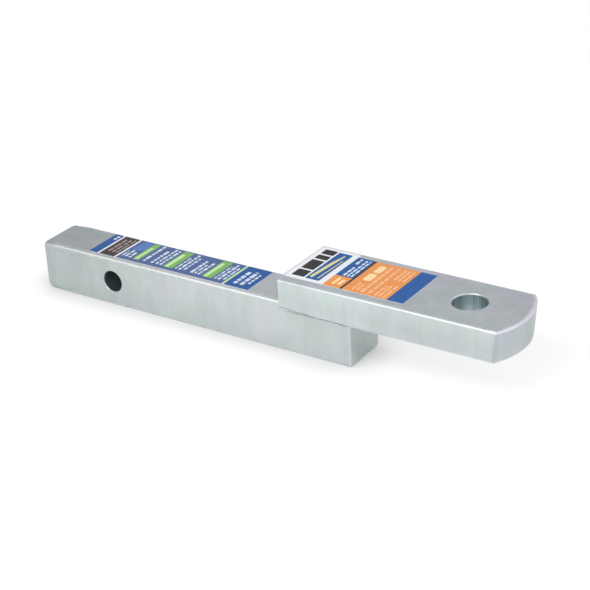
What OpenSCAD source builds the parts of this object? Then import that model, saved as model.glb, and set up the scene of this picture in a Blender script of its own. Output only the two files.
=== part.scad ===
// Fixed drawbar: a solid square shank with a flat tongue welded on top of its rear end.
// Millimetres. Origin at the centre of the pin hole, +X towards the tongue's nose, +Z up.

/* [Shank] */
// Side of the square shank bar
shank_side = 31.75; // [25:0.25:38]
// Length of the shank bar, end to end
shank_length = 228.6; // [190:0.2:280]
// Rounding along the four long edges of the bar and all round its pin end
shank_edge_r = 1.8; // [0.6:0.1:3]
// Rounding all round the rear end
rear_end_r = 1.4; // [0.6:0.1:3]

/* [Pin hole] */
// Diameter of the cross hole for the hitch pin
pin_hole_d = 13.5; // [10:0.1:17]
// Distance from the pin end to the pin hole's centre
pin_hole_inset = 55.5; // [40:0.5:70]
// Chamfer at both mouths of the pin hole
pin_hole_chamfer = 0.5; // [0.2:0.1:1.5]

/* [Tongue] */
// Width of the tongue
tongue_w = 50.8; // [44:0.2:60]
// Thickness of the tongue
tongue_t = 19.4; // [14:0.05:26]
// Length of shank that the tongue lies on
tongue_lap = 42; // [30:0.5:60]
// Rounding along the tongue's long edges
tongue_edge_r = 1.2; // [0.4:0.1:2.5]
// Rounding of the upright corners at the tongue's rear end
tongue_rear_r = 1; // [0.3:0.1:1.5]

/* [Nose] */
// Distance from the shank's rear end to the ball hole's centre
ball_hole_reach = 68.4; // [55:0.2:90]
// Distance from the ball hole's centre to the tip of the nose
nose_reach = 36.2; // [30:0.2:46]
// Radius of the sheared nose, seen from above
nose_r = 45; // [38:0.5:80]
// Sideways offset of the nose arc from the centre line
nose_shift = 1.5; // [0:0.1:3]
// How much further the nose reaches at its top than at its bottom
nose_draft = 1.6; // [0.4:0.1:3]
// Rounding of the nose's top and bottom edges
nose_edge_r = 1.1; // [0.4:0.1:2]
// How far the two nose corners roll down from the flat faces
corner_roll = 0.3; // [0.1:0.1:1.4]
// How far inside the nose's reach the roll starts
corner_roll_inset = 3; // [1:0.5:8]

/* [Ball hole] */
// Diameter of the hole for the ball's threaded stem
ball_hole_d = 20; // [16:0.1:27]
// Chamfer at both mouths of the ball hole
ball_hole_chamfer = 0.6; // [0.2:0.1:1.5]

/* [Welds] */
// Leg of the fillets across the shank
weld_leg = 6.6; // [4:0.1:9]
// How far the returns run along the shank, under the tongue's overhang
weld_return = 13; // [8:0.5:18]
// Distance from one weld ripple to the next
weld_pitch = 2.2; // [1.6:0.1:4]
// Height of a weld ripple
weld_ripple = 0.1; // [0.05:0.01:0.4]
// Radius of the lumps that carry the welds round the shank's edges
weld_corner_r = 3.2; // [2:0.1:4.5]
// Radius of the rear weld's round beads under the overhang
weld_fill_r = 6.7; // [6:0.1:9]
// How far the rear weld washes out past the tongue's sides
weld_wash = 0.2; // [0.1:0.05:0.4]

/* [Labels] */
// Thickness of both printed labels
label_t = 0.2; // [0.1:0.05:0.4]
// Rounding of the labels' outer corners
label_corner_r = 0.8; // [0.3:0.1:2]
// Distance from the pin end to the shank label
shank_label_inset = 36.5; // [25:0.5:50]
// Bare strip between the shank label and the bar's front side
shank_label_front = 2.8; // [2:0.1:5]
// Bare strip between the shank label and the bar's back side
shank_label_back = 1.9; // [1.8:0.1:5]
// Bare strip between the tongue's rear edge and its label
tongue_label_inset = 0.8; // [0.6:0.1:5]
// Bare strip between the tongue label and the tongue's front side
tongue_label_front = 6.2; // [3:0.1:9]
// Bare strip between the label's white head and the tongue's back side
tongue_head_back = 1.9; // [1.5:0.1:5]
// Bare strip between the label's coloured part and the tongue's back side
tongue_label_back = 5.2; // [3:0.1:9]

/* [Hidden] */

coat_color = [0.76, 0.78, 0.79];
weld_color = [0.72, 0.74, 0.75];
label_blue = [0.1, 0.3, 0.64];
label_slate = [0.36, 0.42, 0.63];
label_green = [0.45, 0.74, 0.24];
label_lime = [0.85, 0.92, 0.75];
label_brown = [0.25, 0.2, 0.2];
label_orange = [0.95, 0.58, 0.24];

// Printed fields of the shank label, from the pin end: [width, colour]
shank_fields = [
    [6.5, label_blue],
    [1.5, "white"],
    [11.5, label_brown],
    [1.5, "white"],
    [10.5, label_slate],
    [5, label_green],
    [18.5, label_slate],
    [7, label_green],
    [22.5, label_slate],
    [7, label_green],
    [9.5, label_slate],
    [1.5, label_lime],
    [17.5, label_blue]
];
// Length of the tongue label's white head
head_l = 26;
// Blue bar on the white head: start, width and margin to the head's two sides
head_bar = [13, 9.2, 2.8];
// Printed fields of the tongue label past its head: [width, colour]
tongue_fields = [
    [11.5, label_blue],
    [1.5, label_brown],
    [29, label_orange],
    [10.5, label_blue]
];

bar_fn = 64;
bore_fn = 96;
arc_fn = 180;
// How far a cutting solid runs past the face that it cuts
past = 1;
// Depth of a fillet's turning line inside the joined faces, as a share of its leg
weld_sink = 1;

shank_half = shank_side / 2;
shank_start = -pin_hole_inset;
shank_end = shank_start + shank_length;
shank_bottom = -shank_half;
shank_top = shank_half;

tongue_half = tongue_w / 2;
tongue_start = shank_end - tongue_lap;
tongue_bottom = shank_top;
tongue_top = tongue_bottom + tongue_t;
overhang = tongue_half - shank_half;

ball_x = shank_end + ball_hole_reach;
nose_tip = ball_x + nose_reach;
nose_centre = nose_tip - nose_r;

// Sum of the first count widths in a list of fields
function span(fields, count) = count == 0 ? 0 : fields[count - 1][0] + span(fields, count - 1);

// Flat rectangle with exact round corners, centred
module round_rect(length, width, r) {
    square([length - 2 * r, width], center = true);
    square([length, width - 2 * r], center = true);
    for (x = [-1, 1], y = [-1, 1])
        translate([x * (length / 2 - r), y * (width / 2 - r)])
            circle(r = r, $fn = bar_fn);
}

// Upright plate that starts at x = 0 with round corners and runs on past the bar it shapes
module end_rounder(length, width, height, r) {
    translate([length, 0, -past])
        linear_extrude(height + 2 * past)
            round_rect(2 * length, width, r);
}

// Bar along +X from x = 0, with rounded long edges
module round_bar(length, width, height, r) {
    rotate([90, 0, 90])
        linear_extrude(length)
            round_rect(width, height, r);
}

// Hole along +Z from z = 0 to depth, chamfered at both mouths
module chamfered_hole(d, depth, chamfer) {
    translate([0, 0, -past])
        cylinder(d = d, h = depth + 2 * past, $fn = bore_fn);
    for (turn = [0, 180])
        translate([0, 0, depth / 2])
            rotate([turn, 0, 0])
                translate([0, 0, depth / 2 - chamfer])
                    cylinder(r1 = d / 2, r2 = d / 2 + chamfer + past, h = chamfer + past, $fn = bore_fn);
}

// Plate that rounds the bar's rear end
module rear_rounder() {
    translate([shank_end, 0, -shank_half])
        rotate([0, 0, 180])
            end_rounder(shank_length, shank_side, shank_side, rear_end_r);
}

// Solid square bar: round long edges, a ball-cornered pin end and a rounded rear end
module shank_bar() {
    r = shank_edge_r;
    flat_half = shank_half - r;
    intersection() {
        translate([shank_start + r, 0, 0])
            round_bar(shank_length - r, shank_side, shank_side, r);
        rear_rounder();
        rotate([90, 0, 0])
            rear_rounder();
    }
    translate([shank_start, -flat_half, -flat_half])
        cube([2 * r, 2 * flat_half, 2 * flat_half]);
    for (turn = [0:90:270])
        rotate([turn, 0, 0])
            translate([shank_start + r, flat_half, flat_half]) {
                sphere(r = r, $fn = bar_fn);
                rotate([90, 0, 0])
                    cylinder(r = r, h = 2 * flat_half, $fn = bar_fn);
            }
}

module shank() {
    color(coat_color)
        difference() {
            shank_bar();
            translate([0, shank_half, 0])
                rotate([90, 0, 0])
                    chamfered_hole(pin_hole_d, shank_side, pin_hole_chamfer);
        }
}

// Round plate with a drafted rim and rounded rim edges, for the sheared nose
module nose_plate() {
    top_r = nose_r;
    bottom_r = nose_r - nose_draft;
    straight = tongue_t - 2 * nose_edge_r;
    low_rim = bottom_r - nose_edge_r;
    high_rim = top_r - nose_edge_r;
    rotate_extrude($fn = arc_fn) {
        polygon([
            [0, 0],
            [low_rim, 0],
            [bottom_r, nose_edge_r],
            [top_r, nose_edge_r + straight],
            [high_rim, tongue_t],
            [0, tongue_t]
        ]);
        intersection() {
            translate([low_rim, nose_edge_r])
                circle(r = nose_edge_r, $fn = bar_fn);
            square([nose_r, nose_edge_r]);
        }
        intersection() {
            translate([high_rim, tongue_t - nose_edge_r])
                circle(r = nose_edge_r, $fn = bar_fn);
            translate([0, tongue_t - nose_edge_r])
                square([nose_r, nose_edge_r]);
        }
    }
}

// Round plate about the ball hole whose faces roll down outside the nose's reach
module rolled_plate() {
    flat_r = nose_reach - corner_roll_inset;
    rim_r = sqrt(pow(nose_reach, 2) + pow(tongue_half, 2));
    roll_w = rim_r - flat_r;
    roll_r = (pow(roll_w, 2) + pow(corner_roll, 2)) / (2 * corner_roll);
    rotate_extrude($fn = arc_fn)
        intersection() {
            square([rim_r, tongue_t]);
            union() {
                square([flat_r, tongue_t]);
                intersection() {
                    translate([flat_r, roll_r])
                        circle(r = roll_r, $fn = arc_fn);
                    translate([flat_r, tongue_t - roll_r])
                        circle(r = roll_r, $fn = arc_fn);
                }
            }
        }
}

// Flat bar with rounded long edges, a square rear end and a round nose
module tongue_bar() {
    rear_length = nose_centre - tongue_start;
    bar_length = nose_tip - tongue_start;
    translate([0, 0, tongue_bottom])
        intersection() {
            translate([tongue_start, 0, tongue_t / 2])
                round_bar(bar_length, tongue_w, tongue_t, tongue_edge_r);
            translate([tongue_start, 0, 0])
                end_rounder(bar_length, tongue_w, tongue_t, tongue_rear_r);
            union() {
                translate([nose_centre, -nose_shift, 0])
                    nose_plate();
                translate([tongue_start, -tongue_half, 0])
                    cube([rear_length, tongue_w, tongue_t]);
            }
            union() {
                translate([ball_x, 0, 0])
                    rolled_plate();
                translate([tongue_start, -tongue_half, 0])
                    cube([ball_x - tongue_start, tongue_w, tongue_t]);
            }
        }
}

module tongue() {
    color(coat_color)
        difference() {
            tongue_bar();
            translate([ball_x, 0, tongue_bottom])
                chamfered_hole(ball_hole_d, tongue_t, ball_hole_chamfer);
        }
}

// Radius of the crowned face of a fillet whose turning line is sunk inside both joined faces
function crown_r(leg, sink) = norm([leg + sink, sink]);

// Rippled fillet bead along +Z, turned about its sunk line. An end is [fade, share]: the
// leg runs out to that share of its full size over the length fade.
module bead(length, leg, sink, start, end) {
    steps = 2 * round(length / weld_pitch);
    rotate_extrude($fn = arc_fn)
        polygon(concat(
            [[0, length], [0, 0]],
            [for (i = [0:steps])
                let (
                    s = i * length / steps,
                    start_gap = max(0, 1 - s / start[0]),
                    end_gap = max(0, 1 - (length - s) / end[0]),
                    loss = (1 - start[1]) * pow(start_gap, 2) + (1 - end[1]) * pow(end_gap, 2)
                )
                [crown_r(leg * (1 - loss), sink) - (i % 2) * weld_ripple, s]]
        ));
}

// Crowned fillet bead between y = -half and half, above and behind the corner x = z = 0
module cross_bead(half, leg, fade) {
    sink = leg * weld_sink;
    intersection() {
        translate([sink, -half, -sink])
            rotate([-90, 0, 0])
                bead(2 * half, leg, sink, fade, fade);
        translate([-2 * leg, -half, -leg])
            cube([2 * leg, 2 * half, 3 * leg]);
    }
}

// Crowned fillet bead along +X from x = 0, in the corner under the tongue's overhang
module return_bead(length, leg, side, start, end) {
    sink = leg * weld_sink;
    intersection() {
        translate([0, side * (shank_half - sink), tongue_bottom + sink])
            rotate([0, 90, 0])
                bead(length, leg, sink, start, end);
        translate([-past, side > 0 ? shank_half - shank_edge_r : -tongue_half, 0])
            cube([length + 2 * past, overhang + shank_edge_r, tongue_bottom]);
    }
}

// Fillet turned round an upright corner of radius r, hanging below z = 0
module corner_bead(r, leg) {
    sink = leg * weld_sink;
    rotate_extrude($fn = bar_fn)
        intersection() {
            translate([r - sink, sink])
                circle(r = crown_r(leg, sink), $fn = arc_fn);
            translate([0, -2 * leg])
                square([2 * leg, 2 * leg]);
        }
}

// Weld round the tongue's rear end: a fillet across the shank, and on each side a full
// round bead that fills the overhang and washes out over the tongue's lower corner
module rear_weld() {
    corner_share = weld_corner_r / weld_leg;
    corner_set = shank_half - shank_edge_r / 2;
    fill_y = tongue_half + weld_wash - weld_fill_r;
    fill_back = weld_fill_r / 4;
    fill_start = [1.5 * weld_pitch, 0.35];
    fill_end = [weld_return / 2, 0];
    color(weld_color)
        difference() {
            translate([tongue_start, 0, 0]) {
                translate([0, 0, shank_top])
                    cross_bead(corner_set, weld_leg, [2 * weld_leg, corner_share]);
                for (side = [-1, 1]) {
                    translate([0, side * corner_set, corner_set])
                        sphere(r = weld_corner_r, $fn = bar_fn);
                    translate([-fill_back, side * fill_y, tongue_bottom])
                        rotate([0, 90, 0])
                            bead(weld_return + fill_back, weld_fill_r, 0, fill_start, fill_end);
                }
            }
            shank_bar();
            tongue_bar();
        }
}

// Weld at the shank's rear end: a fillet under the tongue and a return along each side
module end_weld() {
    straight_half = shank_half - rear_end_r;
    return_start = [0.7 * weld_return, 0];
    no_fade = [weld_leg, 1];
    color(weld_color)
        difference() {
            translate([shank_end, 0, tongue_bottom]) {
                rotate([0, 180, 0])
                    cross_bead(straight_half, weld_leg, no_fade);
                for (side = [-1, 1]) {
                    translate([-rear_end_r, side * straight_half, 0])
                        corner_bead(rear_end_r, weld_leg);
                    translate([-weld_return, 0, -tongue_bottom])
                        return_bead(weld_return - rear_end_r, weld_leg, side, return_start, no_fade);
                }
            }
            shank_bar();
            tongue_bar();
        }
}

// Sheet of label film with round corners, its near left corner at the origin
module film(length, width) {
    translate([length / 2, width / 2, 0])
        linear_extrude(label_t)
            round_rect(length, width, label_corner_r);
}

// One printed field in its own colour, cut from the film that is passed as the child
module field(x, y, length, width, c) {
    color(c)
        intersection() {
            translate([x, y, 0])
                cube([length, width, label_t]);
            children();
        }
}

// Row of printed fields along +X, side by side
module field_row(fields, width) {
    for (i = [0:len(fields) - 1])
        field(span(fields, i), 0, fields[i][0], width, fields[i][1])
            children();
}

// Printed label on top of the shank
module shank_label() {
    length = span(shank_fields, len(shank_fields));
    width = shank_side - shank_label_front - shank_label_back;
    translate([shank_start + shank_label_inset, -shank_half + shank_label_front, shank_top])
        field_row(shank_fields, width)
            film(length, width);
}

// Film of the tongue label: the coloured part, and the white head that reaches further back
module tongue_film(head_w, fields_w) {
    film(head_l + span(tongue_fields, len(tongue_fields)), fields_w);
    film(head_l, head_w);
}

// Printed label on top of the tongue: a white head with a blue bar, then coloured fields
module tongue_label() {
    head_w = tongue_w - tongue_label_front - tongue_head_back;
    fields_w = tongue_w - tongue_label_front - tongue_label_back;
    bar_end = head_bar[0] + head_bar[1];
    bar_w = head_w - 2 * head_bar[2];
    translate([tongue_start + tongue_label_inset, -tongue_half + tongue_label_front, tongue_top]) {
        field(0, 0, head_bar[0], head_w, "white")
            tongue_film(head_w, fields_w);
        field(head_bar[0], 0, head_bar[1], head_bar[2], "white")
            tongue_film(head_w, fields_w);
        field(head_bar[0], head_bar[2], head_bar[1], bar_w, label_blue)
            tongue_film(head_w, fields_w);
        field(head_bar[0], head_w - head_bar[2], head_bar[1], head_bar[2], "white")
            tongue_film(head_w, fields_w);
        field(bar_end, 0, head_l - bar_end, head_w, "white")
            tongue_film(head_w, fields_w);
        for (i = [0:len(tongue_fields) - 1])
            field(head_l + span(tongue_fields, i), 0, tongue_fields[i][0], fields_w, tongue_fields[i][1])
                tongue_film(head_w, fields_w);
    }
}

shank();
tongue();
rear_weld();
end_weld();
shank_label();
tongue_label();
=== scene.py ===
import math
import random

import bmesh
import bpy
from mathutils import Matrix, Vector, noise


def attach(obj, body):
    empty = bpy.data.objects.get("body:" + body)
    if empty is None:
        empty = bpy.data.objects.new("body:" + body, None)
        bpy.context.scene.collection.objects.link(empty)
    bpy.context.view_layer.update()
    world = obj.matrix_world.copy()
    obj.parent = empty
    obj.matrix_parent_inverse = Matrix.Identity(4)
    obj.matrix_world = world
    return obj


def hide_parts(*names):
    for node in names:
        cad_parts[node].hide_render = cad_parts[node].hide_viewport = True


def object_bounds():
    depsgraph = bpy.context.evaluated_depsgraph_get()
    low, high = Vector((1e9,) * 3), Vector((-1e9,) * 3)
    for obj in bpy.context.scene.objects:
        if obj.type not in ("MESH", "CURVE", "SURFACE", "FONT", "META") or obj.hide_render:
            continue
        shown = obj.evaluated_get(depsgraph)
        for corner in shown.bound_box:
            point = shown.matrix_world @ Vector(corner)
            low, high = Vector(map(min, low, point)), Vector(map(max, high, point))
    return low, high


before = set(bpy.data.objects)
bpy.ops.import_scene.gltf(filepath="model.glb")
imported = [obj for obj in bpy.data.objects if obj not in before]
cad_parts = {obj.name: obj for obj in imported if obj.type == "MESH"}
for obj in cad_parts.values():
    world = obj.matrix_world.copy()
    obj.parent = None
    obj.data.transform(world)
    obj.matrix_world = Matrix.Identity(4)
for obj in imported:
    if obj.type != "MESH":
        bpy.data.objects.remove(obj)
cad_low, cad_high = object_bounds()

MM = 0.001

# Sizes of the steel, in millimetres, in the part's frame
PIN_HOLE_INSET = 55.5
PIN_HOLE_R = 6.75
SHANK_HALF = 15.875
SHANK_MID_X = 58.8
SHANK_HALF_LENGTH = 114.3
TONGUE_START = 131.1
TONGUE_HALF = 25.4
TONGUE_TOP = 35.275
NOSE_R = 45.0
NOSE_CENTRE = (232.7, -1.5)
NOSE_DRAFT = 1.6
BALL_HOLE_X = 241.5
BALL_HOLE_R = 10.0

# Rounding of the shank's long edges, how wide it is at each end and how far in it takes to
# narrow, in millimetres, how many cuts across the bar follow that change, and the angle from
# which its edges are drawn sharp
LONG_EDGE_R = 1.8
PIN_END_R = 3.8
PIN_END_TAPER = 14.0
REAR_END_R = 6.6
REAR_END_TAPER = 14.0
TAPER_CUTS = 6
SHANK_SHARP_ANGLE = math.radians(30)


def srgb(red, green, blue):
    """Linear RGBA of a colour given as 0 to 255 screen values."""
    linear = []
    for value in (red, green, blue):
        v = value / 255
        linear.append(v / 12.92 if v <= 0.04045 else ((v + 0.055) / 1.055) ** 2.4)
    return (*linear, 1.0)


def add_piece(name, verts, faces, material):
    """Object with a new mesh, linked to the scene. Points are in metres."""
    mesh = bpy.data.meshes.new(name)
    mesh.from_pydata(verts, [], faces)
    mesh.materials.append(material)
    piece = bpy.data.objects.new(name, mesh)
    bpy.context.scene.collection.objects.link(piece)
    return piece


class Graph:
    """Adds nodes to one node tree. An input takes either a socket to link or a plain value."""

    def __init__(self, tree):
        self.tree = tree

    def feed(self, socket, value):
        if isinstance(value, bpy.types.NodeSocket):
            self.tree.links.new(value, socket)
        else:
            socket.default_value = value

    def add(self, kind, inputs=None, **settings):
        node = self.tree.nodes.new(kind)
        for key, value in settings.items():
            setattr(node, key, value)
        for key, value in (inputs or {}).items():
            self.feed(node.inputs[key], value)
        return node

    def group(self, tree, inputs):
        return self.add("ShaderNodeGroup", inputs, node_tree=tree).outputs

    def math(self, operation, first, second=0.0, third=0.0, clamp=False):
        inputs = {0: first, 1: second, 2: third}
        node = self.add("ShaderNodeMath", inputs, operation=operation, use_clamp=clamp)
        return node.outputs[0]

    def times(self, first, second):
        return self.math("MULTIPLY", first, second)

    def minus(self, first, second):
        return self.math("SUBTRACT", first, second)

    def sway(self, value, weight, base):
        """Base, plus weight times how far a value of 0 to 1 lies from the middle."""
        return self.math("MULTIPLY_ADD", self.minus(value, 0.5), weight, base)

    def vector(self, operation, first, second=(0.0, 0.0, 0.0)):
        node = self.add("ShaderNodeVectorMath", {0: first, 1: second}, operation=operation)
        is_number = operation in ("LENGTH", "DOT_PRODUCT")
        return node.outputs["Value" if is_number else "Vector"]

    def scaled(self, first, second):
        """A vector or colour times a number, a vector or a colour."""
        return self.vector("MULTIPLY", first, second)

    def split(self, vector):
        return self.add("ShaderNodeSeparateXYZ", {"Vector": vector}).outputs

    def noise(self, vector, scale, detail=2.0, roughness=0.5, distortion=0.0):
        inputs = {
            "Vector": vector, "Scale": scale, "Detail": detail, "Roughness": roughness,
            "Distortion": distortion,
        }
        return self.add("ShaderNodeTexNoise", inputs).outputs["Fac"]

    def cells(self, vector, scale, output):
        inputs = {"Vector": vector, "Scale": scale}
        return self.add("ShaderNodeTexVoronoi", inputs).outputs[output]

    def spread(self, value, low, high, to_low=0.0, to_high=1.0):
        """Smooth step from to_low at low to to_high at high."""
        inputs = {
            "Value": value, "From Min": low, "From Max": high, "To Min": to_low, "To Max": to_high,
        }
        node = self.add("ShaderNodeMapRange", inputs, interpolation_type="SMOOTHSTEP")
        return node.outputs["Result"]

    def fade(self, value, low, high, to_low=0.0, to_high=1.0):
        """The same step for a place or a distance, with low and high in millimetres."""
        return self.spread(value, low * MM, high * MM, to_low, to_high)

    def blend(self, factor, first, second):
        """Mix of two colours: inputs 6 and 7 and output 2 are the Mix node's colour sockets."""
        inputs = {0: factor, 6: first, 7: second}
        return self.add("ShaderNodeMix", inputs, data_type="RGBA").outputs[2]

    def relief(self, height, strength, distance):
        inputs = {"Height": height, "Strength": strength, "Distance": distance}
        return self.add("ShaderNodeBump", inputs).outputs["Normal"]


def new_group(name, inputs, outputs):
    """Shader node group with named inputs (kind, value) and numbers or vectors as outputs.

    Returns the tree, its graph and its input sockets."""
    tree = bpy.data.node_groups.new(name, "ShaderNodeTree")
    for label, (kind, value) in inputs.items():
        socket = tree.interface.new_socket(label, in_out="INPUT", socket_type=kind)
        if value is not None:
            socket.default_value = value
    for label, kind in outputs.items():
        tree.interface.new_socket(label, in_out="OUTPUT", socket_type=kind)
    graph = Graph(tree)
    return tree, graph, graph.add("NodeGroupInput").outputs


def new_material(name):
    """Material with a Principled BSDF.

    Returns the material, its graph, a function that feeds the shader's sockets by name and
    the object's own coordinates."""
    material = bpy.data.materials.new(name)
    material.use_nodes = True
    tree = material.node_tree
    tree.nodes.clear()
    graph = Graph(tree)
    shader = graph.add("ShaderNodeBsdfPrincipled")
    graph.add("ShaderNodeOutputMaterial", {"Surface": shader.outputs["BSDF"]})
    place = graph.add("ShaderNodeTexCoord").outputs["Object"]

    def finish(sockets):
        for label, value in sockets.items():
            graph.feed(shader.inputs[label], value)

    return material, graph, finish, place


def make_coat_grain():
    """Silver coat over rolled bar: cloudy tone and tint, streaks, metallic flake, orange peel."""
    tree, g, given = new_group(
        "coat_grain",
        {"Vector": ("NodeSocketVector", None)},
        {label: "NodeSocketFloat" for label in ("Tone", "Tint", "Roughness", "Height")},
    )
    where = given["Vector"]
    broad = g.noise(where, scale=26.0, detail=3.0, roughness=0.55)
    hanging = g.scaled(where, (1.0, 1.0, 0.35))
    cloud = g.noise(hanging, scale=110.0, detail=3.0, roughness=0.6, distortion=0.4)
    rolled = g.noise(g.scaled(where, (0.05, 1.0, 1.0)), scale=520.0, roughness=0.6)
    flake = g.add("ShaderNodeSeparateColor", {"Color": g.cells(where, 2600.0, "Color")})
    flake = g.minus(flake.outputs[0], 0.5)
    peel = g.noise(where, scale=780.0)
    elsewhere = g.vector("ADD", where, (0.31, 0.17, 0.53))
    tone = g.sway(rolled, 0.16, g.sway(cloud, 0.9, g.sway(broad, 0.7, 0.5)))
    g.add("NodeGroupOutput", {
        "Tone": g.math("MULTIPLY_ADD", flake, 0.2, tone),
        "Tint": g.spread(g.noise(elsewhere, scale=34.0), 0.42, 0.72),
        "Roughness": g.sway(cloud, 0.14, g.times(g.minus(peel, 0.5), 0.12)),
        "Height": g.math("MULTIPLY_ADD", flake, 0.1, g.math("MULTIPLY_ADD", rolled, 0.3, peel)),
    })
    return tree


def make_rub_and_highlight_masks():
    """Masks that are 1 along the edges of a bar, from the gaps to its faces, for rubbed edges and
    painted highlight.

    Level is for the edges round its upper and lower faces, Upright for its upright corners."""
    tree, g, given = new_group(
        "rub_and_highlight_masks",
        {
            "Vector": ("NodeSocketVector", None),
            "Gap X": ("NodeSocketFloat", 1.0),
            "Gap Y": ("NodeSocketFloat", 1.0),
            "Gap Z": ("NodeSocketFloat", 1.0),
            "Width": ("NodeSocketFloat", 0.001),
        },
        {"Level": "NodeSocketFloat", "Upright": "NodeSocketFloat"},
    )
    x, y, z = given["Gap X"], given["Gap Y"], given["Gap Z"]
    uneven = g.noise(given["Vector"], scale=300.0, detail=3.0, roughness=0.6)
    reach = g.times(given["Width"], g.spread(uneven, 0.3, 0.7, 0.7, 1.25))
    over_face = g.times(g.math("MINIMUM", x, y), 0.6)
    distances = {
        "Level": g.math("MAXIMUM", z, over_face),
        "Upright": g.math("MAXIMUM", x, y),
    }
    g.add("NodeGroupOutput", {
        label: g.math("SUBTRACT", 1.0, g.math("DIVIDE", distance, reach), clamp=True)
        for label, distance in distances.items()
    })
    return tree


def make_bore_mask():
    """Mask that is 1 inside a bore, and the way there from the line through Centre.

    Across is 1 on the two axes that are square to the bore and 0 along it."""
    tree, g, given = new_group(
        "bore_mask",
        {
            "Vector": ("NodeSocketVector", None),
            "Centre": ("NodeSocketVector", None),
            "Across": ("NodeSocketVector", None),
            "Radius": ("NodeSocketFloat", 0.01),
        },
        {"Mask": "NodeSocketFloat", "Turn": "NodeSocketVector"},
    )
    turn = g.scaled(g.vector("SUBTRACT", given["Vector"], given["Centre"]), given["Across"])
    past_wall = g.minus(g.vector("LENGTH", turn), given["Radius"])
    g.add("NodeGroupOutput", {"Mask": g.fade(past_wall, -0.05, 0.15, 1.0, 0.0), "Turn": turn})
    return tree


def make_film_print():
    """Printed label film: fine ink grain, faint handling marks and the film's slight waviness."""
    tree, g, given = new_group(
        "film_print",
        {"Vector": ("NodeSocketVector", None)},
        {label: "NodeSocketFloat" for label in ("Tone", "Roughness", "Height")},
    )
    where = given["Vector"]
    dots = g.cells(where, 3600.0, "Distance")
    cloud = g.noise(where, scale=60.0)
    turned = g.add("ShaderNodeMapping", {
        "Vector": where, "Rotation": (0.0, 0.0, 0.6), "Scale": (1.0, 26.0, 1.0),
    }).outputs["Vector"]
    handled = g.spread(g.noise(turned, scale=60.0, detail=3.0, roughness=0.7), 0.6, 0.72)
    wave = g.noise(where, scale=95.0, detail=1.0, roughness=0.4)
    g.add("NodeGroupOutput", {
        "Tone": g.sway(dots, 0.12, g.sway(cloud, 0.25, 0.5)),
        "Roughness": g.math("MULTIPLY_ADD", handled, 0.16, g.times(cloud, 0.12)),
        "Height": g.math("MULTIPLY_ADD", dots, 0.02, wave),
    })
    return tree


COAT_GRAIN = make_coat_grain()
RUB_AND_HIGHLIGHT_MASKS = make_rub_and_highlight_masks()
BORE_MASK = make_bore_mask()
FILM_PRINT = make_film_print()

WHITE = (1.0, 1.0, 1.0, 1.0)
COAT_DARK = (0.41, 0.45, 0.448, 1.0)
COAT_LIGHT = (0.59, 0.64, 0.636, 1.0)
COAT_GREENISH = (0.975, 1.01, 0.99, 1.0)
COAT_MAUVE = (1.02, 0.985, 1.045, 1.0)
# Painted reflection: the mauve of the faces that look up
COAT_TOP_REFLECTION = (1.03, 1.0, 1.06, 1.0)
COAT_SHEARED = (0.975, 0.945, 1.015, 1.0)
# Rubbed edges, and the painted highlight along them
COAT_RUB_AND_HIGHLIGHT = (0.75, 0.785, 0.785, 1.0)
COAT_SHADED = (0.34, 0.37, 0.37, 1.0)
# Painted shade, brownish, on the shank's top next to the tongue
BROWN_PAINTED_SHADE = (0.50, 0.51, 0.455, 1.0)
# Painted shadow at the weld's toes and in the seam
TOE_PAINTED_SHADOW = (0.12, 0.13, 0.13, 1.0)
WELD_GREY = (0.40, 0.42, 0.41, 1.0)
# Dark bare steel of the pin hole, darkened further as painted shade in the bore
BARE_AND_SHADED_BORE = (0.11, 0.145, 0.155, 1.0)
PUNCHED_DARK = (0.22, 0.275, 0.29, 1.0)
PUNCHED_LIGHT = (0.56, 0.66, 0.68, 1.0)

COAT_ROUGHNESS = 0.34
COAT_METALLIC = 0.88
WELD_METALLIC = 0.85
INK_ROUGHNESS = 0.26

# Steps for Graph.fade: from and to in millimetres, and the value at each of the two.
# First painted light and shade in the coat's tone: along the bars, up the shank and on its sawn
# end
SHANK_PAINTED_SHADE_ALONG = (-65.0, 90.0, 0.86, 1.0)
SHANK_PAINTED_LIGHT_LOW = (-15.9, -3.0, 1.08, 1.0)
SAWN_END_PAINTED_SHADE = (172.2, 172.9, 1.0, 0.89)
TONGUE_PAINTED_SHADE_ALONG = (120.0, 278.0, 1.05, 0.93)
# Painted shade with a brownish tint on the shank's top next to the tongue, along x and up to
# the face, and how strong it is
BROWN_SHADE_ALONG = (104.0, 128.0)
BROWN_SHADE_UP = (15.5, 15.8)
BROWN_SHADE_SHARE = 0.5
# How far the tongue's edges are rubbed and carry painted highlight, along x, and the gap in
# metres that is added at its lower edges so that they stay without rubbing and painted
# highlight near the weld
EDGE_WEAR_AND_HIGHLIGHT_ALONG = (135.0, 215.0, 0.2, 0.8)
NOSE_WEAR_AND_HIGHLIGHT_ALONG = (262.0, 272.0, 0.0, 0.7)
LOWER_WEAR_AND_HIGHLIGHT_START = (180.0, 215.0, 2.0 * MM, 0.0)
# Painted light on the upper part of the tongue's sides, up z and in from the side, and how much
# lighter
SIDE_PAINTED_LIGHT_UP = (24.0, 33.5)
SIDE_PAINTED_LIGHT_IN = (0.4, 1.2, 1.0, 0.0)
SIDE_PAINTED_LIGHT_GAIN = 0.08
# Painted shade: a soft line at the nose's upright corners, and the sheared face with its darker
# far half
CORNER_SHADE = (0.3, 1.6, 0.35, 0.0)
SHEARED_IN = (0.4, 2.5, 1.0, 0.0)
SHEARED_ACROSS = (-7.0, 5.0)
SHEARED_BELOW_RIM = (33.5, 34.3, 1.0, 0.0)
SHEARED_SHADE = 0.55
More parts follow.
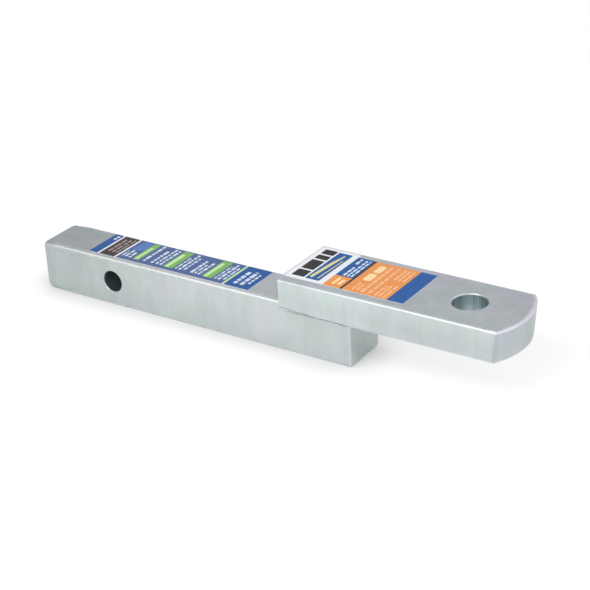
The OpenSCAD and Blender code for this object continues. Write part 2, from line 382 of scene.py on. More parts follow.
# Where the painted shadow at the rear weld's toe widens and narrows again along the seam, how
# much wider its line gets there and how much of its darkness it loses
TOE_WIDENS = (136.0, 143.0)
TOE_NARROWS = (148.0, 157.0)
TOE_WIDENING = 1.7
TOE_PALING = 0.35
# Painted shade at the weld's toe on the shank's side and at the top of the bead under the
# tongue, and how far along x each lies from the widest part of the seam
SHANK_TOE_Z = 10.6
SHANK_TOE_OFF = (0.3, 1.1, 0.3, 0.0)
SHANK_TOE_MOVED = -6.5
BEAD_TOE_UP = (14.3, 15.8)
BEAD_TOE_MOVED = 4.0
BEAD_TOE_SHARE = 0.5
# The painted shadow line of the seam on the tongue's side: its height, how it climbs over its
# last stretch towards the rear corner, how it fades across, and how it starts and ends
SEAM_Z = 16.4
SEAM_CLIMB = 1.5
SEAM_CLIMB_FROM = 144.5
SEAM_CLIMB_OVER = 7.5
SEAM_CLIMB_BEND = 1.3
SEAM_OFF = (0.25, 0.6, 1.0, 0.0)
SEAM_START = (134.0, 158.0, 0.4, 1.0)
SEAM_END = (172.0, 178.0, 1.0, 0.0)
# How far the bare bores reach into the coat, how much rougher the pin hole is than the coat,
# and the rubbed rim round the ball hole, which is also a painted highlight; the pin hole's dark
# bare steel also stands for painted shade in the bore
BORE_LAP = 0.15
PIN_HOLE_ROUGHNESS = 0.25
RIM_RUB_AND_HIGHLIGHT_OUT = (BALL_HOLE_R + 0.3, BALL_HOLE_R + 1.3, 0.5, 0.0)


def coat_colour(g, grain):
    """Cloudy silver with a faint drift between a greenish and a mauve tint."""
    silver = g.blend(grain["Tone"], COAT_DARK, COAT_LIGHT)
    return g.scaled(silver, g.blend(grain["Tint"], COAT_GREENISH, COAT_MAUVE))


def coat_surface(g, finish, place, gaps, edge_width, upright_rub_and_highlight, wear_and_highlight, edge_matt):
    """Gives the shader the coat's metal and relief. Returns the coat's colour and roughness.

    The wear argument scales the rubbing and painted highlight of all edges, the corner argument
    that of the upright corners, and edge_matt is the roughness that a fully rubbed edge adds."""
    grain = g.group(COAT_GRAIN, {"Vector": place})
    rub = g.group(RUB_AND_HIGHLIGHT_MASKS, {
        "Vector": place, "Gap X": gaps[0], "Gap Y": gaps[1], "Gap Z": gaps[2], "Width": edge_width,
    })
    # Rubbed edges and painted highlight along them
    worn_and_highlit = g.math("MAXIMUM", rub["Level"], g.times(rub["Upright"], upright_rub_and_highlight))
    worn_and_highlit = g.times(worn_and_highlit, wear_and_highlight)
    colour = g.blend(worn_and_highlit, coat_colour(g, grain), COAT_RUB_AND_HIGHLIGHT)
    rough = g.math("ADD", grain["Roughness"], COAT_ROUGHNESS)
    finish({"Metallic": COAT_METALLIC, "Normal": g.relief(grain["Height"], 0.12, 0.2 * MM)})
    return colour, g.math("MULTIPLY_ADD", worn_and_highlit, edge_matt, rough)


def gap_to_faces(g, value, middle, half):
    """Distance inward from the two faces at middle - half and middle + half."""
    return g.minus(half * MM, g.math("ABSOLUTE", g.minus(value, middle * MM)))


def tint_top_reflection(g, colour, z, top):
    """Makes the face that looks up a trace more mauve, a painted tint of the light it reflects."""
    return g.scaled(colour, g.blend(g.fade(z, top - 0.4, top - 0.1), WHITE, COAT_TOP_REFLECTION))


def seam_swell(g, x, moved=0.0):
    """Mask that is 1 where the painted shadow at the weld's toe is widest along the seam, moved
    along x.
    """
    widens = g.fade(x, *(place + moved for place in TOE_WIDENS))
    narrows = g.fade(x, *(place + moved for place in TOE_NARROWS), 1.0, 0.0)
    return g.times(widens, narrows)


def seam_shadow_line(g, place, x, z):
    """Mask of the painted shadow line in the crease where the rear weld meets the tongue's side.
    """
    climbed = g.math("DIVIDE", g.minus(SEAM_CLIMB_FROM * MM, x), SEAM_CLIMB_OVER * MM, clamp=True)
    climbed = g.math("POWER", climbed, SEAM_CLIMB_BEND)
    line_z = g.math("MULTIPLY_ADD", climbed, SEAM_CLIMB * MM, SEAM_Z * MM)
    swell = seam_swell(g, x)
    off_line = g.math("ABSOLUTE", g.minus(z, line_z))
    off_line = g.math("DIVIDE", off_line, g.math("MULTIPLY_ADD", swell, TOE_WIDENING, 1.0))
    line = g.times(g.fade(off_line, *SEAM_OFF), g.fade(x, *SEAM_END))
    line = g.times(line, g.math("MULTIPLY_ADD", swell, -TOE_PALING, 1.0))
    line = g.times(line, g.spread(g.noise(place, scale=260.0), 0.25, 0.6, 0.5, 1.0))
    return g.times(line, g.fade(x, *SEAM_START))


def bore(g, place, centre_x, across, radius):
    return g.group(BORE_MASK, {
        "Vector": place, "Centre": (centre_x * MM, 0.0, 0.0), "Across": across,
        "Radius": (radius + BORE_LAP) * MM,
    })


def make_shank_coat():
    material, g, finish, place = new_material("shank_silver_coat")
    x, y, z = g.split(place)
    gaps = (
        gap_to_faces(g, x, SHANK_MID_X, SHANK_HALF_LENGTH),
        gap_to_faces(g, y, 0.0, SHANK_HALF),
        gap_to_faces(g, z, 0.0, SHANK_HALF),
    )
    colour, rough = coat_surface(
        g, finish, place, gaps, edge_width=2.1 * MM, upright_rub_and_highlight=0.3, wear_and_highlight=1.0, edge_matt=0.04,
    )
    # Painted reflection tint on the top face
    colour = tint_top_reflection(g, colour, z, SHANK_HALF)
    # Painted shade towards the pin end and on the sawn end, painted light low on the shank
    for value, tone in ((x, SHANK_PAINTED_SHADE_ALONG), (z, SHANK_PAINTED_LIGHT_LOW), (x, SAWN_END_PAINTED_SHADE)):
        colour = g.scaled(colour, g.fade(value, *tone))
    # Painted shade at the weld's toe on the shank's side
    off_toe = g.math("ABSOLUTE", g.minus(z, SHANK_TOE_Z * MM))
    toe = g.times(g.fade(off_toe, *SHANK_TOE_OFF), seam_swell(g, x, SHANK_TOE_MOVED))
    colour = g.blend(toe, colour, TOE_PAINTED_SHADOW)
    # Painted shade with a brownish tint next to the tongue
    brown_shade = g.times(g.fade(x, *BROWN_SHADE_ALONG), g.fade(z, *BROWN_SHADE_UP))
    colour = g.blend(g.times(brown_shade, BROWN_SHADE_SHARE), colour, BROWN_PAINTED_SHADE)
    # Dark bare steel in the pin hole, also painted shade in the bore
    inside = bore(g, place, 0.0, (1.0, 0.0, 1.0), PIN_HOLE_R)["Mask"]
    finish({
        "Base Color": g.blend(inside, colour, BARE_AND_SHADED_BORE),
        "Roughness": g.math("MULTIPLY_ADD", inside, PIN_HOLE_ROUGHNESS, rough),
    })
    return material


def nose_gap(g, place, x):
    """Distance inward from the nose's arc, and a metre more for what lies behind its centre."""
    centre = (NOSE_CENTRE[0] * MM, NOSE_CENTRE[1] * MM, 0.0)
    flat = g.scaled(g.vector("SUBTRACT", place, centre), (1.0, 1.0, 0.0))
    inward = g.minus(NOSE_R * MM, g.vector("LENGTH", flat))
    return g.math("ADD", inward, g.math("LESS_THAN", x, NOSE_CENTRE[0] * MM))


def make_tongue_coat():
    material, g, finish, place = new_material("tongue_silver_coat")
    x, y, z = g.split(place)
    below_top = g.minus(TONGUE_TOP * MM, z)
    above_bottom = g.math("ADD", g.minus(z, SHANK_HALF * MM), g.fade(x, *LOWER_WEAR_AND_HIGHLIGHT_START))
    to_nose = nose_gap(g, place, x)
    to_side = gap_to_faces(g, y, 0.0, TONGUE_HALF)
    gaps = (
        g.math("MINIMUM", to_nose, g.minus(x, TONGUE_START * MM)),
        to_side,
        g.math("MINIMUM", below_top, above_bottom),
    )
    wear_and_highlight = g.math("ADD", g.fade(x, *EDGE_WEAR_AND_HIGHLIGHT_ALONG), g.fade(x, *NOSE_WEAR_AND_HIGHLIGHT_ALONG))
    colour, rough = coat_surface(
        g, finish, place, gaps, edge_width=1.5 * MM, upright_rub_and_highlight=0.0, wear_and_highlight=wear_and_highlight, edge_matt=0.12,
    )
    # Painted reflection tint on the top face
    colour = tint_top_reflection(g, colour, z, TONGUE_TOP)
    # Painted light on the upper part of the sides
    side_painted_light = g.times(g.fade(z, *SIDE_PAINTED_LIGHT_UP), g.fade(to_side, *SIDE_PAINTED_LIGHT_IN))
    colour = g.scaled(colour, g.math("MULTIPLY_ADD", side_painted_light, SIDE_PAINTED_LIGHT_GAIN, 1.0))
    # Painted shade in a soft line at the nose's upright corners
    drafted = g.times(below_top, NOSE_DRAFT / (TONGUE_TOP - SHANK_HALF))
    to_nose = g.minus(to_nose, drafted)
    corner = g.math("MAXIMUM", to_nose, to_side)
    colour = g.blend(g.fade(corner, *CORNER_SHADE), colour, COAT_SHADED)
    sheared = g.fade(to_nose, *SHEARED_IN)
    colour = g.scaled(colour, g.blend(sheared, WHITE, COAT_SHEARED))
    # Painted shade on the far half of the sheared face
    far_half = g.times(g.fade(y, *SHEARED_ACROSS), g.fade(z, *SHEARED_BELOW_RIM))
    shaded = g.times(g.times(sheared, far_half), SHEARED_SHADE)
    colour = g.blend(shaded, colour, COAT_SHADED)
    # Painted shade, darker towards the nose
    colour = g.scaled(colour, g.fade(x, *TONGUE_PAINTED_SHADE_ALONG))
    # Painted shadow line in the seam's crease
    colour = g.blend(seam_shadow_line(g, place, x, z), colour, TOE_PAINTED_SHADOW)
    hole = bore(g, place, BALL_HOLE_X, (1.0, 1.0, 0.0), BALL_HOLE_R)
    streak = g.noise(hole["Turn"], scale=620.0, detail=3.0, roughness=0.65)
    punched = g.blend(g.spread(streak, 0.3, 0.7), PUNCHED_DARK, PUNCHED_LIGHT)
    # Rubbed rim round the ball hole, also a painted highlight
    rim_rub_and_highlight = g.fade(g.vector("LENGTH", hole["Turn"]), *RIM_RUB_AND_HIGHLIGHT_OUT)
    colour = g.blend(rim_rub_and_highlight, colour, COAT_RUB_AND_HIGHLIGHT)
    finish({"Base Color": g.blend(hole["Mask"], colour, punched), "Roughness": rough})
    return material


def make_weld_coat(name, grey):
    """Coated weld metal. Grey is how much of it shows through where the coat is thin."""
    material, g, finish, place = new_material(name)
    x, _, z = g.split(place)
    grain = g.group(COAT_GRAIN, {"Vector": place})
    patch = g.spread(g.noise(place, scale=210.0, detail=3.0, roughness=0.6), 0.35, 0.65)
    colour = g.blend(g.times(patch, grey), coat_colour(g, grain), WELD_GREY)
    # Painted shade at the top of the bead, under the tongue
    toe = g.times(seam_swell(g, x, BEAD_TOE_MOVED), g.fade(z, *BEAD_TOE_UP))
    rough = g.math("ADD", grain["Roughness"], COAT_ROUGHNESS)
    skin = g.noise(place, scale=420.0, detail=3.0, roughness=0.6)
    finish({
        "Base Color": g.blend(g.times(toe, BEAD_TOE_SHARE), colour, TOE_PAINTED_SHADOW),
        "Roughness": g.math("MULTIPLY_ADD", patch, 0.1, rough),
        "Normal": g.relief(skin, 0.35, 0.5 * MM),
        "Metallic": WELD_METALLIC,
    })
    return material


def make_ink(name, colour):
    """One printed colour on the glossy film, a little uneven as ink is."""
    material, g, finish, place = new_material(name)
    film = g.group(FILM_PRINT, {"Vector": place})
    darker = tuple(c * 0.86 for c in colour[:3]) + (1.0,)
    lighter = tuple(min(1.0, c * 1.12 + 0.006) for c in colour[:3]) + (1.0,)
    finish({
        "Base Color": g.blend(film["Tone"], darker, lighter),
        "Roughness": g.math("ADD", film["Roughness"], INK_ROUGHNESS),
        "Normal": g.relief(film["Height"], 0.1, 0.4 * MM),
        "Specular IOR Level": 0.2,
    })
    return material


INK_COLOURS = {
    "film_white": (222, 225, 229),
    "royal_blue": (1, 79, 148),
    "slate_blue": (70, 92, 142),
    "light_blue": (80, 116, 184),
    "pale_blue": (200, 212, 228),
    "leaf_green": (118, 170, 90),
    "pale_lime": (190, 222, 160),
    "dark_brown": (52, 38, 42),
    "warm_grey": (150, 138, 138),
    "charcoal": (28, 28, 32),
    "straw": (208, 204, 142),
    "orange": (220, 140, 72),
    "cream": (240, 206, 158),
    "salmon": (236, 176, 126),
}
INKS = {name: make_ink(name, srgb(*colour)) for name, colour in INK_COLOURS.items()}


# Printed labels, in millimetres: the film, the tops of the printed layers over the face below,
# how far each layer sinks into what it lies on and how far print stays inside the film's edge
FILM_T = 0.11
LAYER_TOPS = (0.13, 0.15, 0.17)
LAYER_SINK = 0.03
PRINT_INSET = 0.05
# Small print: how long a bar is, the gap to the next one, the shortest last bar and its corners
WORD_LENGTH = (1.6, 5.2)
WORD_GAP = (0.7, 1.1)
SHORTEST_WORD = 0.8
WORD_CORNER_R = 0.4


def rounded(x0, x1, y0, y1, r, steps=4):
    """Outline of a rectangle with round corners, in millimetres, anticlockwise."""
    r = min(r, (x1 - x0) / 2, (y1 - y0) / 2)
    left, right, low, high = x0 + r, x1 - r, y0 + r, y1 - r
    corners = ((right, high, 0), (left, high, 90), (left, low, 180), (right, low, 270))
    points = []
    for cx, cy, start in corners:
        for i in range(steps + 1):
            a = math.radians(start + 90 * i / steps)
            points.append((cx + r * math.cos(a), cy + r * math.sin(a)))
    return points


def lay_sheet(name, outlines, bottom, top, material):
    """Thin closed sheets between two heights, one for each outline, as one piece.

    X in an outline is the distance from the pin end."""
    verts, faces = [], []
    for outline in outlines:
        base = len(verts)
        count = len(outline)
        for height in (bottom, top):
            verts += [((x - PIN_HOLE_INSET) * MM, y * MM, height * MM) for x, y in outline]
        faces.append([base + count + i for i in range(count)])
        faces.append([base + i for i in reversed(range(count))])
        for i in range(count):
            here, there = base + i, base + (i + 1) % count
            faces.append([here, there, there + count, here + count])
    piece = add_piece(name, verts, faces, material)
    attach(piece, "root")
    return piece


class Label:
    """Printed label on a face that looks up."""

    def __init__(self, name, face_z, seed):
        self.name = name
        self.face_z = face_z
        self.rng = random.Random(seed)

    def film(self, outline):
        top = self.face_z + FILM_T
        return lay_sheet(f"{self.name}_film", [outline], self.face_z, top, INKS["film_white"])

    def ink(self, colour, layer, outlines, what=None):
        """Prints one colour. Layers with a higher number lie over those with a lower one.

        What names the piece when the label already has one of that colour."""
        top = self.face_z + LAYER_TOPS[layer]
        name = f"{self.name}_{what or colour}_print"
        lay_sheet(name, outlines, top - LAYER_SINK, top, INKS[colour])

    def small_print(self, lines, word=WORD_LENGTH):
        """Plain rounded bars along Y that stand for lines of small print."""
        bars = []
        for x0, x1, y0, y1 in lines:
            y = y0
            while y < y1 - SHORTEST_WORD:
                end = min(y1, y + self.rng.uniform(*word))
                bars.append(rounded(x0, x1, y, end, WORD_CORNER_R, steps=3))
                y = end + self.rng.uniform(*WORD_GAP)
        return bars


# Lines of small print on each label: where each starts and ends along X and along Y
SHANK_LABEL_LINES = (
    (59, 60.2, -9.2, -2), (61.4, 63, -9.2, 0), (64.4, 66.2, -9.2, -1.4), (75.4, 77.4, -9.2, 13),
    (81.4, 83.4, -9.2, 9), (85.2, 86.8, -9.2, 13), (88.2, 89.8, -9.2, 12), (100, 101.2, -9.2, 8),
    (102.6, 104.4, -9.2, 13), (105.8, 107.2, -8, 9), (111.4, 113.4, -9.2, 8),
    (114.6, 115.8, -9.2, 4), (117, 118.8, -9.2, 8), (129.4, 130.6, -9.2, 9),
    (131.8, 133.6, -9.2, 12), (135, 136.4, -8, 9),
)
TONGUE_LABEL_LINES = (
    (231, 232.6, -16.4, -6.6), (233.8, 235.4, -16.4, -7), (237, 239.2, -17, 17),
    (241.6, 243.4, -17, 17.6), (246, 247.6, -17.4, -4), (246, 247.6, 4, 17.6),
    (248.8, 250.2, -17.4, -2), (248.8, 250.2, 4, 17.6), (251.6, 253.2, -17.4, -1),
    (251.6, 253.2, 4, 17.6),
)


def build_shank_label():
    label = Label("shank_label", SHANK_HALF, seed=11)
    low, high = -13.075, 13.975
    sheet = label.film(rounded(36.5, 156.5, low, high, 0.8))
    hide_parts("shank_label")
    lo, hi = low + PRINT_INSET, high - PRINT_INSET
    label.ink("royal_blue", 0, [
        rounded(36.55, 43, lo, hi, 0.5), rounded(139, 156.45, lo, hi, 0.5),
    ])
    label.ink("dark_brown", 0, [rounded(44.5, 56, lo, hi, 0.1)])
    label.ink("slate_blue", 0, [rounded(57.5, 137.5, lo, hi, 0.1)])
    label.ink("pale_lime", 0, [rounded(137.5, 139, lo, hi, 0.1)])
    label.ink("leaf_green", 1, [
        rounded(x0, x1, -10, 13.2, 0.6) for x0, x1 in ((68.2, 73), (91.6, 98.6), (120.8, 128))
    ])
    label.ink("light_blue", 1, [[(60, 0.5), (66, 0.5), (68, 4), (67.4, 13), (61, 13), (59.6, 6)]])
    label.ink("warm_grey", 1, label.small_print([
        (47.2, 48.8, -8, 12), (50.4, 52, -8, 12), (53.4, 54.6, -8, 12),
    ], word=(3, 7)))
    label.ink("pale_lime", 2, [
        rounded(69.4, 71.4, -9.4, 8, 0.4), rounded(92.6, 95.2, -9.4, 9, 0.4),
        rounded(121.8, 124.2, -9.4, 10, 0.4),
    ], what="lime_rows")
    rows = label.small_print([(39.6, 41.6, 6.8, 13)], word=(2, 3))
    rows += label.small_print([(143, 145.6, -9, 9), (147.6, 150.2, -9, 9)], word=(2.4, 6))
    rows += label.small_print([(151.6, 153.2, -6, 7)], word=(2, 4))
    rows += label.small_print(SHANK_LABEL_LINES)
    label.ink("pale_blue", 1, rows)


def build_tongue_label():
    label = Label("tongue_label", TONGUE_TOP, seed=23)
    front, step, back = -19.2, 20.2, 23.5
    head = rounded(187.4, 213.4, front, back, 0.8)
    body = rounded(187.4, 265.9, front, step, 0.8)
    corner = len(head) // 4
    outline = body[:corner] + [(213.4, step)] + head[:3 * corner] + body[3 * corner:]
    sheet = label.film(outline)
    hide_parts("tongue_label")
    lo, hi = front + PRINT_INSET, step - PRINT_INSET
    label.ink("charcoal", 0, [
        rounded(190.6, 199, y0, y1, 0.7)
        for y0, y1 in ((-16, -7.6), (-6, 6.4), (8, 13.4), (15, 21.2))
    ])
    label.ink("royal_blue", 0, [
        rounded(200.2, 209.4, -16.4, 20.7, 0.4), rounded(213.4, 224.6, -5, hi, 0.1),
        rounded(255.2, 265.85, lo, hi, 0.6),
    ])
    label.ink("orange", 0, [
        rounded(213.4, 224.6, lo, -5, 0.1), rounded(226.2, 255.2, lo, hi, 0.1),
    ])
    label.ink("dark_brown", 0, [rounded(224.6, 226.2, lo, hi, 0.1)])
    label.ink("straw", 1, [
        [(201.4, -13.4), (203.4, -14.2), (206.2, 17.6), (205.4, 18.4), (203, 8)],
        [(206.6, -14), (207.4, -14), (208.2, 12), (207.6, 12)],
    ])
    blue_rows = label.small_print([(216, 217.8, 11.8, 18.6)], word=(2, 4))
    blue_rows += label.small_print([
        (217.4, 219, -3.8, 9.4), (220, 221.4, -3.8, 18.2), (222.4, 223.6, -3.8, 18.2),
    ], word=(2, 5))
    label.ink("pale_blue", 1, blue_rows)
    label.ink("cream", 1, [
        rounded(230.2, 235.4, -3.8, 5.6, 1.6), rounded(230.6, 235.2, 7.2, 16.4, 1.6),
        rounded(217.2, 219.2, -16, -7, 0.8), rounded(220.6, 222.8, -15.4, -8.4, 0.8),
    ])
    label.ink("salmon", 1, label.small_print(TONGUE_LABEL_LINES, word=(2, 6)))


# Weld beads, in millimetres: how far apart their rings stand, the points on each ring and the
# samples taken between two stations
RING_STEP = 0.25
RING_POINTS = 56
STATION_SAMPLES = 40
# Ripples: their pitch, their height and how far they bow back at a bead's edges, in pitches
RIPPLE_PITCH = 1.7
RIPPLE_HEIGHT = 0.11
RIPPLE_BOW = 1.5
# Broad and fine lumps of the face: height, and how many there are to a millimetre
LUMPS = ((0.22, 0.3), (0.05, 1.1))
# Radius below which ripples and lumps fade away
FULL_RELIEF_R = 3
# How near the flat face of a bead comes to its turning line, and how far a crowned one may
# stand out, as shares of its radius
CHORD = 0.4
CROWN_REACH = 1.1
# How far from the middle plane a bead may wash out over the tongue's side
WASH_Y = 25.53
# Angle from which a bead's edges are drawn sharp
WELD_SHARP_ANGLE = math.radians(38)


def spline(stations, t):
    """Smooth values between stations, each of which is a list of numbers."""
    last = len(stations) - 1
    i = min(int(t), last - 1)
    f = t - i
    before, here = stations[max(i - 1, 0)], stations[i]
    there, after = stations[i + 1], stations[min(i + 2, last)]
    leave, leave_slope = 2 * f**3 - 3 * f**2 + 1, f**3 - 2 * f**2 + f
    arrive, arrive_slope = 3 * f**2 - 2 * f**3, f**3 - f**2
    values = []
    for a, b, c, d in zip(before, here, there, after):
        slope, next_slope = (c - a) / 2, (d - b) / 2
        values.append(leave * b + leave_slope * slope + arrive * c + arrive_slope * next_slope)
    return values


def even_rings(stations):
    """Values at even steps along the stations' spline, each with its distance from the start."""
    samples, length = [], 0.0
    previous = None
    for k in range((len(stations) - 1) * STATION_SAMPLES + 1):
        values = spline(stations, k / STATION_SAMPLES)
        point = Vector(values[:3])
        if previous is not None:
            length += (point - previous).length
        previous = point
        samples.append((length, values))
    count = int(length / RING_STEP)
    rings, cursor = [], 0
    for k in range(count + 1):
        at = length * k / count
        while cursor < len(samples) - 2 and samples[cursor + 1][0] < at:
            cursor += 1
        (start, low), (end, high) = samples[cursor], samples[cursor + 1]
        f = (at - start) / max(end - start, 1e-9)
        rings.append((at, [a + (b - a) * f for a, b in zip(low, high)]))
    return rings


def smooth_reach(radius, crown, cos, sin):
    """Distance from a bead's turning line to its face before ripples, in one direction."""
    shaped = radius
    if cos > 0 and crown >= 0:
        sink = radius * math.sqrt(2)
        shaped = math.sqrt(max(5 * radius**2 - (sink * sin) ** 2, 0.0)) - sink * cos
        shaped = min(shaped, radius * CROWN_REACH)
    elif cos > 0:
        shaped = min(radius, CHORD * radius / cos)
    return radius + abs(crown) * (shaped - radius)


def bead_surface(stations, seed):
    """Vertices of a bead's rings, one ring after the other, and the number of rings."""
    shift = Vector((seed * 7.3, seed * 3.1, seed * 5.7))
    rings = even_rings(stations)
    last = len(rings) - 1
    verts = []
    for k, (at, values) in enumerate(rings):
        centre = Vector(values[:3])
        ahead = Vector(rings[min(k + 2, last)][1][:3]) - Vector(rings[max(k - 2, 0)][1][:3])
        along = ahead.normalized()
        outward = Vector(values[3:6])
        outward = (outward - outward.dot(along) * along).normalized()
        side = along.cross(outward)
        radius, crown = max(values[6], 0.02), values[7]
        for n in range(RING_POINTS):
            turn = 2 * math.pi * n / RING_POINTS
            cos, sin = math.cos(turn), math.sin(turn)
            way = cos * outward + sin * side
            reach = smooth_reach(radius, crown, cos, sin)
            phase = at / RIPPLE_PITCH + RIPPLE_BOW * (cos - 1)
            relief = RIPPLE_HEIGHT * (math.sqrt(phase % 1.0) - 0.6) * max(cos, 0.0)
            spot = centre + reach * way
            for height, density in LUMPS:
                relief += height * noise.noise(spot * density + shift)
            spot = centre + (reach + min(1.0, radius / FULL_RELIEF_R) * relief) * way
            spot.y = max(-WASH_Y, min(WASH_Y, spot.y))
            verts.append(spot * MM)
    return verts, len(rings)


def sweep_bead(name, stations, seed, material, node):
    """Weld bead lofted through stations of [x, y, z, outward x, y, z, radius, crown].

    The rings stand round the line that the steel faces share, so the steel hides their inner
    side. Crown 1 is the gently crowned face of a fillet whose legs are the radius, 0 a round
    bead and -1 a flat face."""
    verts, count = bead_surface(stations, seed)
    ring = list(range(RING_POINTS))
    faces = []
    for base in range(0, (count - 1) * RING_POINTS, RING_POINTS):
        for n in ring:
            here, there = base + n, base + (n + 1) % RING_POINTS
            faces.append([here, there, there + RING_POINTS, here + RING_POINTS])
    faces.append(ring[::-1])
    faces.append([(count - 1) * RING_POINTS + n for n in ring])
    piece = add_piece(name, verts, faces, material)
    piece.data.shade_smooth()
    piece.data.set_sharp_from_angle(angle=WELD_SHARP_ANGLE)
    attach(piece, "root")
    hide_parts(node)


def mirrored(half):
    """Stations of a bead from side to side, given those from the middle to the +Y side."""
    other = [[x, -y, z, ox, -oy, oz, r, c] for x, y, z, ox, oy, oz, r, c in half]
    return list(reversed(other[1:])) + half


# Stations of both welds from the middle to the +Y side, in millimetres
REAR_WELD_HALF = [
    [131.1, 0.0, 15.875, -1, 0, 1, 6.2, 1],
    [131.1, 4.5, 15.875, -1, 0, 1, 6.2, 1],
    [131.1, 9.0, 15.875, -1, 0, 1, 6.0, 1],
    [131.1, 12.5, 15.8, -1, 0.1, 0.9, 5.4, 0.9],
    [131.4, 15.4, 15.7, -1, 0.5, 0.4, 4.7, 0.3],
    [132.2, 17.0, 15.9, -0.9, 0.8, -0.3, 4.8, -0.3],
    [133.8, 18.0, 15.8, -0.4, 0.7, -0.8, 5.8, -0.7],
    [136.4, 18.5, 15.6, 0, 0.54, -0.84, 6.9, -1],
    [139.2, 18.4, 15.5, 0, 0.54, -0.84, 6.9, -1],
    [141.4, 18.0, 15.3, 0, 0.54, -0.84, 6.0, -1],
    [142.9, 17.3, 15.3, 0, 0.6, -0.8, 4.3, -0.9],
    [143.7, 16.7, 15.4, 0, 0.7, -0.7, 2.4, -0.8],
    [144.0, 16.3, 15.5, 0, 0.7, -0.7, 0.5, -0.8],
]
END_WELD_HALF = [
    [173.1, 0.0, 15.85, 1, 0, -1, 6.3, 1],
    [173.1, 5.0, 15.85, 1, 0, -1, 6.2, 1],
    [173.1, 10.0, 15.85, 1, 0, -1, 6.1, 1],
    [173.0, 14.2, 15.85, 1, 0.1, -1, 5.9, 1],
    [172.3, 15.6, 15.85, 0.7, 0.7, -1, 5.8, 1],
    [170.8, 15.9, 15.85, 0.1, 1, -1, 5.8, 1],
    [167.5, 15.875, 15.85, 0, 1, -1, 5.7, 0.9],
    [164.5, 15.875, 15.85, 0, 1, -1, 4.4, 0.9],
    [162.0, 15.875, 15.85, 0, 1, -1, 2.4, 1],
    [160.4, 15.875, 15.85, 0, 1, -1, 0.3, 1],
]


def build_welds():
    rear, end = mirrored(REAR_WELD_HALF), mirrored(END_WELD_HALF)
    sweep_bead("rear_weld_bead", rear, 1, make_weld_coat("rear_weld_coat", 0.3), "rear_weld")
    sweep_bead("end_weld_bead", end, 2, make_weld_coat("end_weld_coat", 0.4), "end_weld")


# Camera in the part's frame: place in millimetres, turns in radians, focal length in pixels of
# the square picture
CAMERA_AT = (644.57, -742.46, 462.36)
CAMERA_YAW = 0.609989
CAMERA_PITCH = 0.460763
CAMERA_ROLL = -0.0576183
FOCAL_PIXELS = 1730.133
FRAME_PIXELS = 590
SENSOR = 36.0


def place_camera():
    cos_yaw, sin_yaw = math.cos(CAMERA_YAW), math.sin(CAMERA_YAW)
    cos_pitch, sin_pitch = math.cos(CAMERA_PITCH), math.sin(CAMERA_PITCH)
    cos_roll, sin_roll = math.cos(CAMERA_ROLL), math.sin(CAMERA_ROLL)
    forward = Vector((-sin_yaw * cos_pitch, cos_yaw * cos_pitch, -sin_pitch))
    level = Vector((cos_yaw, sin_yaw, 0.0))
    upright = level.cross(forward)
    right = cos_roll * level + sin_roll * upright
    up = cos_roll * upright - sin_roll * level
    data = bpy.data.cameras.new("camera")
    data.sensor_width = SENSOR
    data.lens = SENSOR * FOCAL_PIXELS / FRAME_PIXELS
    data.clip_start = 0.01
    data.clip_end = 50.0
    camera = bpy.data.objects.new("camera", data)
    bpy.context.scene.collection.objects.link(camera)
    turn = Matrix((right, up, -forward)).transposed().to_4x4()
    camera.matrix_world = Matrix.Translation(Vector(CAMERA_AT) * MM) @ turn
    bpy.context.scene.camera = camera


# Soft panels of the room: direction, strength and how tightly each is gathered round it
ROOM_PANELS = (
    ((0.0, 0.6, 0.8), 1.0, 3.0),
    ((-0.7, 0.7, 0.35), 0.25, 6.0),
    ((-0.6, -0.8, 0.4), 0.8, 6.0),
    ((0.0, -1.0, 0.3), 1.4, 3.0),
    ((-1.0, -0.2, 0.3), 0.28, 3.0),
    ((1.0, -0.2, 0.25), 1.6, 3.0),
    ((0.75, 0.65, 0.1), 0.6, 8.0),
)


def set_world():
    """Room lit by broad soft panels, and plain white where the camera looks straight at it."""
    world = bpy.data.worlds.new("room")
    bpy.context.scene.world = world
    world.use_nodes = True
    tree = world.node_tree
    tree.nodes.clear()
    g = Graph(tree)
    direction = g.add("ShaderNodeTexCoord").outputs["Generated"]
    light = 0.0
    for towards, strength, gather in ROOM_PANELS:
        facing = g.vector("DOT_PRODUCT", direction, Vector(towards).normalized())
        gathered = g.math("POWER", g.math("MAXIMUM", facing, 0.0), gather)
        light = g.math("MULTIPLY_ADD", gathered, strength, light)
    seen = g.add("ShaderNodeLightPath").outputs["Is Camera Ray"]
    light = g.math("MAXIMUM", light, seen)
    background = g.add("ShaderNodeBackground", {"Color": WHITE, "Strength": light})
    g.add("ShaderNodeOutputWorld", {"Surface": background.outputs["Background"]})


# White sheet under the part: half its side in metres, its greys, its own glow and how near the
# part has to lie to dim that glow
FLOOR_REACH = 6.0
FLOOR_DARK = (0.50, 0.50, 0.50, 1.0)
FLOOR_LIGHT = (0.52, 0.52, 0.52, 1.0)
FLOOR_GLOW = 0.53
FLOOR_DIM_WITHIN = 22 * MM


def lay_floor():
    """White sheet lit from above, with a glow that fades where the part lies close over it."""
    material, g, finish, place = new_material("white_paper")
    shade = g.spread(g.noise(place, scale=6.0), 0.2, 0.8)
    open_sky = g.add("ShaderNodeAmbientOcclusion", {"Distance": FLOOR_DIM_WITHIN}, samples=12)
    finish({
        "Base Color": g.blend(shade, FLOOR_DARK, FLOOR_LIGHT),
        "Roughness": 0.9,
        "Specular IOR Level": 0.1,
        "Emission Color": WHITE,
        "Emission Strength": g.times(open_sky.outputs["AO"], FLOOR_GLOW),
    })
    far, z = FLOOR_REACH, cad_low.z
    corners = [(-far, -far, z), (far, -far, z), (far, far, z), (-far, far, z)]
    floor = add_piece("floor", corners, [(0, 1, 2, 3)], material)


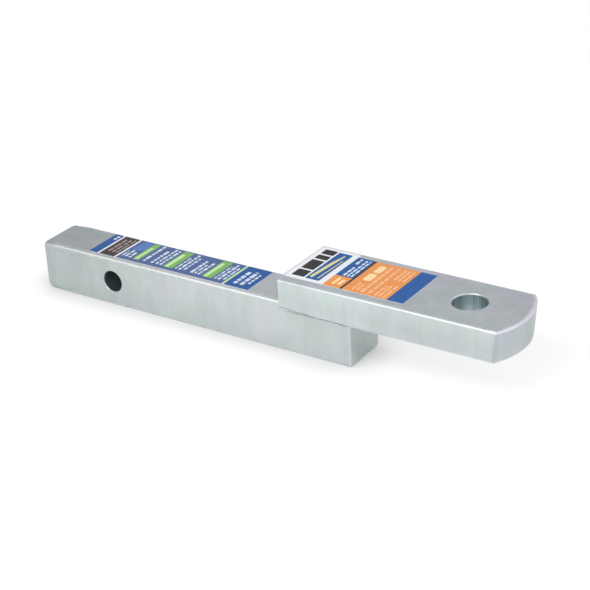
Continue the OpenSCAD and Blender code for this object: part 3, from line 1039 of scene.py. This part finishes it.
def add_softbox(name, at, aim, size, power):
    data = bpy.data.lights.new(name, "AREA")
    data.shape = "RECTANGLE"
    data.size, data.size_y = size
    data.energy = power
    light = bpy.data.objects.new(name, data)
    bpy.context.scene.collection.objects.link(light)
    light.location = at
    light.rotation_euler = (Vector(aim) - Vector(at)).to_track_quat("-Z", "Y").to_euler()


def set_lights():
    add_softbox(
        "front_softbox", at=(0.2, -0.35, 0.4), aim=(0.2, -0.05, 0.0), size=(0.3, 0.15), power=0.9,
    )


def edge_radius(x, y, z):
    """Rounding of the shank's long edges.

    It widens towards the pin end, and towards the rear end at the far lower corner alone."""
    pin_end = (x + PIN_HOLE_INSET - PIN_END_R) / (PIN_END_TAPER - PIN_END_R)
    rear_end = (SHANK_MID_X + SHANK_HALF_LENGTH - x) / REAR_END_TAPER
    if y <= 0 or z >= 0:
        rear_end = 1.0
    radius = LONG_EDGE_R
    for past, widest in ((pin_end, PIN_END_R), (rear_end, REAR_END_R)):
        past = min(1.0, max(0.0, past))
        radius += (widest - LONG_EDGE_R) * (1 - past * past * (3 - 2 * past))
    return radius


def round_off(v, radius):
    """Place across the bar after the rounding of its edges has become radius."""
    flat, new_flat = SHANK_HALF - LONG_EDGE_R, SHANK_HALF - radius
    if abs(v) <= flat:
        return v * new_flat / flat
    return math.copysign(new_flat + (abs(v) - flat) * radius / LONG_EDGE_R, v)


def shank_mesh_data():
    """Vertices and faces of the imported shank, with its ends tumbled rounder than its edges."""
    bm = bmesh.new()
    bm.from_mesh(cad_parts["shank"].data)
    bmesh.ops.remove_doubles(bm, verts=bm.verts, dist=0.001 * MM)
    ring, new_ring = LONG_EDGE_R - PIN_HOLE_INSET, PIN_END_R - PIN_HOLE_INSET
    rear_end = SHANK_MID_X + SHANK_HALF_LENGTH
    cuts = range(1, TAPER_CUTS + 1)
    pin_cuts = [new_ring + (PIN_END_TAPER - PIN_END_R) * cut / TAPER_CUTS for cut in cuts]
    rear_cuts = [rear_end - REAR_END_TAPER * cut / TAPER_CUTS for cut in cuts]
    for x in pin_cuts + rear_cuts:
        everything = bm.verts[:] + bm.edges[:] + bm.faces[:]
        bmesh.ops.bisect_plane(bm, geom=everything, plane_co=(x * MM, 0, 0), plane_no=(1, 0, 0))
    for vert in bm.verts:
        x, y, z = vert.co / MM
        if x < ring:
            x = new_ring + (x - ring) * PIN_END_R / LONG_EDGE_R
        elif x < pin_cuts[0]:
            x = new_ring + (x - ring) * (pin_cuts[0] - new_ring) / (pin_cuts[0] - ring)
        radius = edge_radius(x, y, z)
        vert.co = Vector((x, round_off(y, radius), round_off(z, radius))) * MM
    bm.verts.index_update()
    verts = [vert.co.copy() for vert in bm.verts]
    faces = [[vert.index for vert in face.verts] for face in bm.faces]
    bm.free()
    return verts, faces


def build_shank():
    verts, faces = shank_mesh_data()
    piece = add_piece("shank_bar", verts, faces, make_shank_coat())
    piece.data.shade_smooth()
    piece.data.set_sharp_from_angle(angle=SHANK_SHARP_ANGLE)
    normals = piece.modifiers.new("flat_faces", "WEIGHTED_NORMAL")
    normals.weight = 100
    normals.keep_sharp = True
    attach(piece, "root")
    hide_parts("shank")


def coat_tongue():
    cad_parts["tongue"].material_slots[0].material = make_tongue_coat()


place_camera()
set_world()
lay_floor()
set_lights()
coat_tongue()
build_shank()
build_welds()
build_shank_label()
build_tongue_label()

bpy.context.scene.view_settings.view_transform = "Standard"
